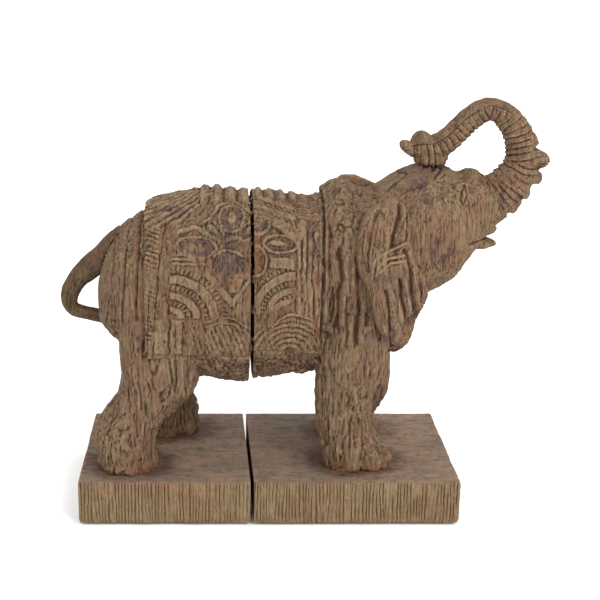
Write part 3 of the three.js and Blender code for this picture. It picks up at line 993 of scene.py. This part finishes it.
trunk = rough_block("trunk", "carved_trunk", [TRUNK_BACK])
soften(trunk, voxel=0.55, rounds=12)
where = points(trunk)
length, skin, along, outside, back, tip = measure_trunk(where)
veins = ring_line(along, 0.16, 0.3, 0.14) * 0.65 - ring_line(along, -0.16, 0.24, 0.2) * 0.9
veins *= 0.55 + 0.45 * field(skin, (6, 6, 9), seed=83)
ridge = step(0.3, 0.75, outside) * (1 - step(50, 56, length)) * step(6, 10, length)
knobs = (ticks(along, 8.2, 0.72) * 1.9 - 0.9) * (0.85 + 0.4 * field(skin, (4, 4, 8), seed=85))
knobs -= cracks(skin, (5, 5, 4), seed=86, width=0.15) * 0.8
back_line = bar(outside, 0.42, 0.1, 0.1) * step(62, 70, length) * (1 - tip)
height = veins * (1 - tip) * (1 - back) * (1 - ridge) + knobs * ridge
height -= back_line * 0.8 + cracks(skin, (4, 4, 5), seed=87, width=0.09) * 0.5 * (1 - back)
height += field(skin, (1.2, 1.2, 3.4), seed=89) * 0.2 + rough(skin, 6, seed=91) * 0.45
height -= cracks(where, (5, 5, 5), seed=93, width=0.12) * tip * 0.6
cut(trunk, height)
saw(trunk, *TRUNK_BACK, within=24)

# %% Staining the trunk, with painted shade at its root
where = points(trunk)
_, skin, along, _, back, tip = measure_trunk(where)
rings = ring_line(along, -0.16, 0.2, 0.2) * (1 - back) * (1 - tip)
rub_wash(trunk, extra=back * 0.16 + rings * 0.4 * step(-0.4, 0.2, rough(skin, 5, seed=95)))
# Painted shade where the trunk meets the head, stored with the grey of its back.
root_shade = filled(oval(where[:, 0], where[:, 2], (113.6, 187), 7, 9), 1.6, 0.9) * 0.5
store(trunk, "grey", root_shade + back * 0.3)

# %% Carving the tail
tail = rough_block("tail", "carved_tail")
soften(tail, voxel=0.55, rounds=8)
length, angle = along_tube(points(tail), TAIL_LINE)
skin = round_tube(length, angle, radius=6)
height = -cracks(skin, (3.2, 3.2, 26), seed=101, width=0.16) * 0.55
height += field(skin, (1.5, 1.5, 10), seed=103) * 0.25 + rough(skin, 7, seed=105) * 0.45
cut(tail, height * step(2, 14, length) + 0.1)
# Extra wash where the tail reaches furthest left is painted shade.
rub_wash(tail, extra=0.12 * step(115, 145, -points(tail)[:, 0]))

# %% [markdown]
# ## The ears
#
# Each ear hangs like a folded cloth. Deep upright folds are cut in the outer face, and a strap of
# three cords crosses it. The inner face is pressed a little into the head, so that no light shows
# through the glue line.


# %% Carving an ear
EAR_CUTS = [  # a line down the ear, its width and its depth
    ([(54.0, 191), (52.1, 181.5), (48.8, 170), (48.2, 164)], 2.6, 2.4),
    ([(55.9, 162), (59.3, 153), (59.8, 140), (62.7, 127)], 2.4, 2.3),
    ([(31.3, 174), (30.4, 162), (33.8, 150)], 1.8, 1.3),
    ([(45, 188.5), (39.5, 182.5), (35.7, 172), (34.6, 161), (35.5, 150)], 1.3, 1.1),
    ([(53.0, 146), (53.9, 136), (56.5, 126), (58.5, 119)], 1.8, 1.6),
    ([(45.5, 140), (47.5, 128), (48.7, 118), (48.7, 111)], 1.4, 1.2),
    ([(57.6, 190), (57.4, 178), (56.8, 168)], 1.3, 1.2),
    ([(64.2, 150), (65.5, 141), (66.0, 133)], 1.3, 1.0),
]
CORDS = [
    [(56.5, 166.5), (48.4, 163.1), (42.2, 159.9), (38.6, 156.1), (37.6, 146.4)],
    [(55.5, 160.0), (46.0, 158.0), (41.2, 153.5), (40.0, 148.0)],
    [(56.0, 156.9), (47.4, 155.4), (41.9, 149.6)],
]


def ear_height(where, facing, side, seed):
    """Heights in mm of the folds and fibres, and 1 on the cords."""
    x, y, z = where.T
    x = x + rough(where, (7, 9, 15), seed) * 0.9
    z = z + rough(where, (9, 9, 9), seed + 1) * 0.8
    fibres = np.stack([x - 0.21 * np.abs(z - 158), y, z], 1)
    height = field(fibres, (3.6, 9, 40), seed + 2) * 1.1
    height -= cracks(fibres, (2.2, 6, 26), seed + 4, width=0.2) * 0.7
    height += field(fibres, (1.2, 9, 14), seed + 5) * 0.3
    for path, width, deep in EAR_CUTS:
        height -= stroke(x, z, path, width, width * 0.8) * deep
    cords = highest(*[stroke(x, z, path, 1.5, 0.8) for path in CORDS])
    height = height * (1 - 0.8 * cords) + cords
    pressed = step(0.1, 0.5, -facing * side) * 0.9
    return height * step(0.1, 0.6, facing * side) + pressed, cords


def carve_ear(node, side, seed):
    """A finished ear; side is -1 for the right one and 1 for the left one."""
    ear = rough_block(node, "carved_" + node)
    soften(ear, voxel=0.55, rounds=10)
    height, cords = ear_height(points(ear), normals(ear)[:, 1], side, seed)
    cut(ear, height)
    where = points(ear)
    x, _, z = where.T
    deep = highest(*[stroke(x, z, path, width, width) for path, width, _ in EAR_CUTS]) * (1 - cords)
    rub_wash(ear, extra=0.45 * deep - 0.5 * cords, wide=1.2)
    smoke = step(-0.2, 0.3, rough(where, (6, 6, 20), seed + 7))
    store(ear, "grey", (1 - step(146, 156, z)) * 0.55 * smoke)
    upper, lower = EAR_CUTS[0][0], EAR_CUTS[1][0]
    store(ear, "red", stroke(x, z, upper, 8, 5) * 0.35 + stroke(x, z, lower, 7, 5) * 0.3)
    return ear


right_ear = carve_ear("right_ear", side=-1, seed=111)
left_ear = carve_ear("left_ear", side=1, seed=121)

# %% [markdown]
# ## The plinths
#
# A plinth is a sawn slab. Its top is planed and its three outer sides are scored with upright flutes
# of uneven width, as if split with an adze; the side that meets the books is left flat. A cube is
# divided along one axis at a time, so that its squares stay half a millimetre wide where the flutes
# need them.


# %% Making a slab
def divide(slab, axis, rounds):
    """Cuts every edge that lies along an axis, a few cuts at a time."""
    for cuts in rounds:
        where, ends = points(slab), edge_list(slab)
        run = np.abs(where[ends[:, 0]] - where[ends[:, 1]])
        choose(slab, "edges", run.argmax(1) == axis)
        bpy.ops.mesh.subdivide(number_cuts=cuts)
        bpy.ops.object.mode_set(mode="OBJECT")


def close_bottom(slab, level):
    """Makes the underside one face again, since no carving shows there."""
    middles = vectors(slab.data.polygons, "center")
    choose(slab, "polygons", middles[:, 2] < (level + 0.01) * MM)
    bpy.ops.mesh.dissolve_faces()
    bpy.ops.object.mode_set(mode="OBJECT")


def make_slab(node, name, rounds_x, rounds_y):
    """A block of the node's size, divided evenly along each axis."""
    low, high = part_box(node)
    bpy.ops.object.select_all(action="DESELECT")
    bpy.ops.mesh.primitive_cube_add(size=1, location=(low + high) / 2, scale=high - low)
    slab = bpy.context.object
    slab.name = slab.data.name = name
    bpy.ops.object.transform_apply(location=True, rotation=True, scale=True)
    for axis, rounds in ((2, (9,)), (0, rounds_x), (1, rounds_y)):
        divide(slab, axis, rounds)
    close_bottom(slab, low.z / MM)
    return slab


# %% Scoring the sides
FLUTE = 1.95  # the pitch of the flutes
DRAWN_IN = 3.0  # how far in from a side its carving reaches
RIM = 1.6
INNER_TURN = 0.009  # the plinths' inner ends are turned a little more than the saw cut
FOOT_HEIGHT, FOOT_TAPER = 2.5, 0.012


def flutes(along, level, seed):
    """How strongly each point of a side lies in one of its thin upright cuts."""
    wall = np.stack([along, level, level], 1)
    count = along / FLUTE + 0.55 * field(wall, (5, 40, 40), seed)
    count += 0.12 * field(wall, (2, 5, 5), seed + 1)
    number = np.round(count)
    half = np.full_like(number, 0.5)
    own = field(np.stack([number * 7.3, half, half], 1), 1, seed + 2)  # each flute's own depth
    cut_here = 1 - step(0.12, 0.52, np.abs(count - number) * FLUTE)
    broken = step(-0.75, 0.1, field(wall, (3.1, 11, 11), seed + 3) + own * 0.8)
    return cut_here * (0.5 + 0.5 * broken) * (0.75 + 0.25 * own)


def score(slab, node, plain_end, seed):
    """Draws the outer sides in by the flutes, and the top's rim with them."""
    corners = low, high = [np.array(corner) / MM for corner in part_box(node)]
    where = points(slab)
    scored, deep = np.zeros(len(where)), np.zeros(len(where))
    for axis, end in ((0, 0), (0, 1), (1, 0), (1, 1)):
        if axis == 0 and end == plain_end:
            continue
        inward = 1 if end == 0 else -1
        depth = (where[:, axis] - corners[end][axis]) * inward
        lines = flutes(where[:, 1 - axis], where[:, 2], seed + 10 * axis + 20 * end)
        waves = np.abs(field(where, (26, 26, 40), seed + 4)) * 0.6
        shift = (lines * 0.8 + waves - 0.5) * np.clip(1 - depth / DRAWN_IN, 0, 1)
        where[:, axis] += inward * shift
        at_top = step(high[2] - 1, high[2], where[:, 2])
        chips = step(0.1, 0.5, rough(where, (2.6, 2.6, 40), seed + 7))
        lowered = 0.3 + 0.5 * lines + 0.7 * chips
        where[:, 2] -= np.clip(1 - depth / RIM, 0, 1) ** 2 * at_top * lowered
        on_side = depth < 0.3
        scored = np.maximum(scored, on_side)
        deep = np.maximum(deep, lines * on_side)
    foot = np.clip((low[2] + FOOT_HEIGHT - where[:, 2]) / FOOT_HEIGHT, 0, 1) ** 2
    middle = (low + high) / 2
    where[:, :2] -= (where[:, :2] - middle[:2]) * foot[:, None] * FOOT_TAPER
    place_points(slab, turn_cut(where, corners[plain_end][0], more=INNER_TURN))
    store(slab, "scored", scored)
    return deep


def painted_shade_round_feet(where, feet):
    """Painted shade on the plinth's top round the feet, put in as extra wash."""
    total = np.zeros(len(where))
    for at_x, at_y in feet:
        away = np.hypot((where[:, 0] - at_x) / 1.25, where[:, 1] - at_y)
        total += 1 - step(19, 34, away + rough(where, 9, seed=131) * 6)
    return total * step(26.5, 27.3, where[:, 2]) * 0.65


def red_rings(where, feet, seed):
    """The rust-red stain round each foot, in patches."""
    rings = sum(1 - step(17, 29, np.hypot(*(where[:, :2] - at).T)) for at in feet)
    return rings * 0.7 * step(-0.3, 0.4, rough(where, (7, 5, 7), seed))


def scored_slab(node, feet, plain_end, rounds_x, rounds_y, seed):
    """A finished plinth; feet are the places of the elephant's two feet on it."""
    slab = make_slab(node, "scored_" + node, rounds_x, rounds_y)
    deep = score(slab, node, plain_end, seed)
    where = points(slab)
    # The top is darkened round the feet as painted shade, and the flutes get wash.
    rub_wash(slab, painted_shade_round_feet(where, feet) + deep * 0.8, fine=0.5)
    store(slab, "red", red_rings(where, feet, seed + 9))
    return slab


rear_slab = scored_slab("rear_plinth", [(-103, -28), (-80, 29)], 1, (13, 13), (14, 14), seed=141)
front_slab = scored_slab("front_plinth", [(32, -26), (31, 27)], 0, (14, 14), (14, 13), seed=171)

# %% [markdown]
# ## Writing materials as sums
#
# Wood is a sum of many small effects. Wired by hand they would fill a page, so one class wraps a
# node's output and lets Python's own +, - and * add the Math nodes, and one method adds any other
# node.


# %% A wire and a finish
class Wire:
    """One output of a node; sums on wires add Math nodes."""

    def __init__(self, finish, socket):
        self.finish, self.socket = finish, socket

    def maths(self, operation, *others, turned_round=False):
        values = (*others, self) if turned_round else (self, *others)
        return self.finish.add("ShaderNodeMath", {"operation": operation}, dict(enumerate(values)))

    def __add__(self, other):
        return self.maths("ADD", other)

    def __sub__(self, other):
        return self.maths("SUBTRACT", other)

    def __rsub__(self, other):
        return self.maths("SUBTRACT", other, turned_round=True)

    def __mul__(self, other):
        return self.maths("MULTIPLY", other)

    __radd__ = __add__
    __rmul__ = __mul__


class Finish:
    """A material being written, and the one method that adds a node to it."""

    def __init__(self, name, **fixed):
        self.material = bpy.data.materials.new(name)
        self.material.use_nodes = True
        self.tree = self.material.node_tree
        self.shader = self.tree.nodes["Principled BSDF"]
        for socket, value in fixed.items():
            self.shader.inputs[socket.replace("_", " ")].default_value = value
        self.place = self.add("ShaderNodeTexCoord", out="Object")

    def add(self, kind, settings=(), values=(), out=0):
        node = self.tree.nodes.new(kind)
        for key, value in dict(settings).items():
            setattr(node, key, value)
        for socket, value in dict(values).items():
            self.plug(node.inputs[socket], value)
        return Wire(self, node.outputs[out])

    def plug(self, socket, value):
        if isinstance(value, Wire):
            self.tree.links.new(value.socket, socket)
        elif isinstance(value, tuple) and len(value) == 3 and socket.type == "RGBA":
            socket.default_value = (*value, 1)
        else:
            socket.default_value = value

    def stretched(self, scale):
        """Object coordinates in mm, divided by a cell size for each axis."""
        each = tuple(1 / (MM * s) for s in scale)
        return self.add("ShaderNodeMapping", {}, {"Vector": self.place, "Scale": each})

    def noise(self, scale, detail=3.0, roughness=0.55):
        """Noise from about 0 to 1 with cells of that size in mm."""
        values = {"Vector": self.stretched(scale), "Scale": 1.0, "Detail": detail, "Roughness": roughness}
        return self.add("ShaderNodeTexNoise", {}, values)

    def stored(self, name):
        return self.add("ShaderNodeAttribute", {"attribute_name": name}, out="Fac")

    def window(self, value, low, high):
        """0 below low, 1 above high, smooth between."""
        values = {"Value": value, "From Min": low, "From Max": high}
        return self.add("ShaderNodeMapRange", {"interpolation_type": "SMOOTHSTEP"}, values)

    def mix(self, share, below, above):
        """The colour below, covered by a share of the colour above."""
        values = {0: share, 6: below, 7: above}
        return self.add("ShaderNodeMix", {"data_type": "RGBA"}, values, out=2)

    def shade(self, colour, value):
        """The colour times a number that varies over the surface."""
        return self.add("ShaderNodeVectorMath", {"operation": "SCALE"}, {0: colour, "Scale": value})

    def finish(self, colour, roughness=None, bumps=()):
        self.plug(self.shader.inputs["Base Color"], colour)
        if roughness is not None:
            self.plug(self.shader.inputs["Roughness"], roughness)
        normal = None
        for height, distance in bumps:
            values = {"Height": height, "Distance": distance * MM, "Strength": 1.0}
            if normal is not None:
                values["Normal"] = normal
            normal = self.add("ShaderNodeBump", {}, values)
        if normal is not None:
            self.plug(self.shader.inputs["Normal"], normal)
        print("finish", self.material.name, len(self.tree.nodes), "nodes")
        return self.material


# %% [markdown]
# ## Carved wood
#
# The wood is pale and dry, between olive tan and pinkish brown, with a dark reddish wash in the
# hollows and hardly any shine. Object coordinates in millimetres keep the grain in scale on every
# piece.

# %% Carved wood
OLIVE, PINK = (0.205, 0.137, 0.074), (0.200, 0.112, 0.068)
GREY, WASH_AND_SHADE = (0.088, 0.064, 0.055), (0.038, 0.017, 0.012)
BARE, RUST = (0.300, 0.218, 0.138), (0.200, 0.066, 0.030)
LATE_RING, EARLY_RING = (0.10, 0.066, 0.040), (0.068, 0.043, 0.026)


def scratches(finish, size, width, detail=2.0):
    """1 along thin wandering lines: the places where a noise crosses its middle value."""
    off_middle = (finish.noise(size, detail, 0.6) - 0.5).maths("ABSOLUTE")
    return 1 - finish.window(off_middle, 0.0, width)


def carved_wood(name, bright=1.0, warmth=0.0, scratchy=1.0):
    """The wood with its wash; warmth turns olive to pink, and scratchy darkens the fine lines."""
    wood = Finish(name, Roughness=0.75, Specular_IOR_Level=0.12)
    patches = wood.noise((13, 13, 20), 4, 0.65)
    stain = wood.noise((6, 6, 9), 5, 0.68)
    mottle = wood.window(wood.noise((1.9, 1.9, 3.2), 5, 0.7), 0.30, 0.70)
    fibre = wood.window(wood.noise((1.0, 1.0, 9), 4, 0.65), 0.32, 0.68)
    hair = scratches(wood, (1.9, 1.9, 14), 0.085)
    crazing = scratches(wood, (5.5, 5.5, 12), 0.036, 3)
    here = wood.window(wood.noise((8, 8, 12), 3), 0.40, 0.58)
    wash_and_shade, worn, grey, red = [wood.stored(each) for each in ("wash_and_shade", "worn", "grey", "red")]
    colour = wood.mix(wood.window(patches + warmth, 0.43, 0.58), OLIVE, PINK)
    colour = wood.mix(worn * 0.7, colour, BARE)
    # grey holds smoke stains and, on the head and at the trunk's root, painted shade.
    smoke_and_shade = wood.window(stain + grey * 0.30, 0.54, 0.74)
    colour = wood.mix(smoke_and_shade * 0.7, colour, GREY)
    rusty = wood.window(stain * 0.4 + mottle * 0.18 + red * 0.5, 0.46, 0.72)
    colour = wood.mix(rusty * 0.55, colour, RUST)
    lines = hair * here * 0.5 + crazing * (0.55 - here * 0.4)
    # Wash in the hollows, plus painted shade on the belly and the tail, darkens the colour.
    dark = wood.window(wash_and_shade + lines * scratchy + (stain - 0.5) * 0.8 + (mottle - 0.5) * 0.22, 0.06, 1.0)
    colour = wood.mix(dark * 0.86, colour, WASH_AND_SHADE)
    colour = wood.shade(colour, (0.60 + fibre * 0.40 + mottle * 0.28) * bright)
    rings = wood.mix(wood.noise((60, 3.2, 2.4), 2), LATE_RING, EARLY_RING)
    colour = wood.mix(wood.stored("sawn"), colour, wood.shade(rings, 0.6 + fibre * 0.4))
    carved = mottle * 0.35 + fibre * 0.5 - lines
    return wood.finish(colour, 0.80 - worn * 0.12 - mottle * 0.08, [(carved, 0.45)])


body_wood = carved_wood("carved wood of the body", bright=0.83, warmth=0.02, scratchy=0.8)
cloth_wood = carved_wood("carved wood of the blanket", bright=0.96, scratchy=0.6)
head_wood = carved_wood("carved wood of the head", warmth=0.01, scratchy=0.9)
# The tail's wood is made darker, bright 0.56, as painted shade.
tail_wood_painted_shade = carved_wood("carved wood of the tail with painted shade", bright=0.56, warmth=0.02)

# %% [markdown]
# ## Plinth wood
#
# The plinths are the same stained wood, but smooth on top with a slow cloudy stain, and paler on the
# scored sides, where each flute leaves a dark thin line.

# %% Plinth wood
def plinth_wood():
    """Smooth and cloudy on top, streaked and paler on the scored sides."""
    wood = Finish("stained wood of the plinths", Roughness=0.7, Specular_IOR_Level=0.12)
    cloud = wood.window(wood.noise((26, 18, 18), 5, 0.62), 0.42, 0.58)
    blotch = wood.noise((7, 7, 7), 5, 0.68)
    grain = wood.window(wood.noise((12, 1.4, 12), 4, 0.6), 0.32, 0.68)
    upright = wood.window(wood.noise((0.9, 0.9, 9), 4, 0.65), 0.32, 0.68)
    mottle = wood.window(wood.noise((1.7, 1.7, 2.4), 5, 0.7), 0.30, 0.70)
    scuffs = scratches(wood, (16, 6, 6), 0.03, 3)
    scored, wash_and_shade, red = [wood.stored(each) for each in ("scored", "wash_and_shade", "red")]
    top = wood.mix(cloud, (0.225, 0.146, 0.100), (0.165, 0.120, 0.084))
    top = wood.mix(wood.window(blotch, 0.50, 0.70) * 0.7, top, (0.098, 0.076, 0.063))
    top = wood.mix(scuffs * 0.5, top, (0.045, 0.030, 0.024))
    top = wood.shade(top, 0.80 + grain * 0.12 + mottle * 0.26)
    side = wood.mix(cloud, (0.230, 0.164, 0.090), (0.230, 0.144, 0.082))
    side = wood.shade(side, 0.60 + upright * 0.34 + mottle * 0.30)
    colour = wood.mix(scored, top, side)
    rusty = wood.window(blotch * 0.5 + red * 0.5, 0.40, 0.75)
    colour = wood.mix(rusty * 0.6, colour, (0.16, 0.060, 0.030))
    # Wash in the flutes, plus painted shade round the feet on the top, darkens the colour.
    dark = wood.window(wash_and_shade + (blotch - 0.5) * 0.6 + (mottle - 0.5) * 0.3, 0.08, 1.0)
    colour = wood.mix(dark * 0.86, colour, (0.046, 0.018, 0.011))
    pores = grain * 0.5 + mottle * 0.5 - scuffs
    return wood.finish(colour, 0.80 - grain * 0.12, [(pores, 0.2), (upright * scored, 0.25)])


slab_wood = plinth_wood()

# %% [markdown]
# ## Felt, dowels and screws
#
# These pieces hardly show, but each still gets a finish at its own scale: short crossed fibres for the
# felt, straight open grain for the beech dowels and fine turning marks on the screws.

# %% Felt, beech and zinc
felt = Finish("pressed felt", Roughness=0.95, Sheen_Weight=0.4)
fluff = felt.noise((0.35, 0.35, 0.35), 4, 0.7)
lint = felt.noise((2.4, 0.5, 0.5), 3)
felt_colour = felt.mix(fluff, (0.040, 0.048, 0.036), (0.085, 0.095, 0.078))
felt_colour = felt.mix(felt.window(lint, 0.6, 0.7) * 0.4, felt_colour, (0.15, 0.15, 0.13))
felt.finish(felt_colour, bumps=[(fluff, 0.3)])

beech = Finish("beech dowel", Roughness=0.5)
flecks = beech.noise((7, 0.4, 0.4), 3)
beech_colour = beech.mix(beech.window(flecks, 0.4, 0.65), (0.62, 0.44, 0.26), (0.45, 0.29, 0.16))
beech.finish(beech_colour, bumps=[(flecks, 0.1)])

zinc = Finish("zinc plated steel", Roughness=0.34, Metallic=1.0)
turning = zinc.noise((0.25, 0.25, 6), 2)
dulled = zinc.noise((1.6, 1.6, 1.6), 3)
zinc_colour = zinc.mix(zinc.window(dulled, 0.4, 0.7), (0.66, 0.66, 0.64), (0.50, 0.49, 0.45))
zinc.finish(zinc_colour, 0.25 + turning * 0.25, [(turning, 0.03)])


# %% Dressing every piece
def dress(piece, material):
    piece.data.materials.clear()
    piece.data.materials.append(material)


def mark_sawn(piece, at, out):
    """Stores 1 on the one big face that closes a saw cut, so that it stays bare."""
    at, out = np.array(at, float), np.array(out, float)
    away = (vectors(piece.data.polygons, "center") / MM - at) @ out
    facing = vectors(piece.data.polygons, "normal") @ out
    flat = (np.abs(away) < 0.06) & (facing > 0.99)
    attribute = piece.data.attributes.new("sawn", "FLOAT", "FACE")
    attribute.data.foreach_set("value", flat.astype(np.float32))
    print(piece.name, int(flat.sum()), "sawn faces")


mark_sawn(hindquarters, *REAR_SEAM)
mark_sawn(forequarters, *FRONT_SEAM)

REAR, FRONT = "rear_bookend", "front_bookend"
PIECES = [  # piece, the CAD node that it replaces, its body and its finish
    (rear_slab, "rear_plinth", REAR, slab_wood),
    (hindquarters, "hindquarters", REAR, body_wood),
    (rear_blanket, None, REAR, cloth_wood),
    (tail, "tail", REAR, tail_wood_painted_shade),
    (front_slab, "front_plinth", FRONT, slab_wood),
    (forequarters, "forequarters", FRONT, body_wood),
    (front_blanket, None, FRONT, cloth_wood),
    (head, "head", FRONT, head_wood),
    (trunk, "trunk", FRONT, head_wood),
    (right_ear, "right_ear", FRONT, head_wood),
    (left_ear, "left_ear", FRONT, head_wood),
]
for piece, node, body, material in PIECES:
    dress(piece, material)
    pick(piece)
    bpy.ops.object.shade_smooth_by_angle(angle=math.radians(50))
    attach(piece, body)
    "plinth_wood" if material == slab_wood else "carved_wood"
    if node:
        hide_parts(node)

FITTINGS = (("felt", felt), ("screw", zinc), ("dowel", beech), ("peg", beech))
for word, finish in FITTINGS:
    for name, node in frame["nodes"].items():
        if word in name:
            dress(node, finish.material)

# %% [markdown]
# ## Floor and light
#
# A white floor and a bright even surrounding give a plain pale ground. One wide soft sun from the
# front right shapes the carving.

# %% Floor and light
bpy.ops.object.select_all(action="DESELECT")
bpy.ops.mesh.primitive_plane_add(size=12, location=(0, 0, 0))
floor = bpy.context.object
floor.name = floor.data.name = "floor"
paper = Finish("white paper", Roughness=0.9)
paper.finish((0.93, 0.93, 0.93))
dress(floor, paper.material)

world = bpy.data.worlds.new("studio")
world.use_nodes = True
world.node_tree.nodes["Background"].inputs["Color"].default_value = (1.0, 1.0, 1.0, 1)
world.node_tree.nodes["Background"].inputs["Strength"].default_value = 1.35
bpy.context.scene.world = world

sun_data = bpy.data.lights.new("key", "SUN")
sun_data.energy = 1.7
sun_data.angle = math.radians(22)
sun_data.color = (1.0, 0.985, 0.96)
sun = bpy.data.objects.new("key", sun_data)
sun.rotation_euler = (math.radians(48), 0, math.radians(38))
bpy.context.scene.collection.objects.link(sun)
bpy.context.scene.view_settings.view_transform = "Standard"
bpy.context.scene.view_settings.look = "None"
print("lights set")
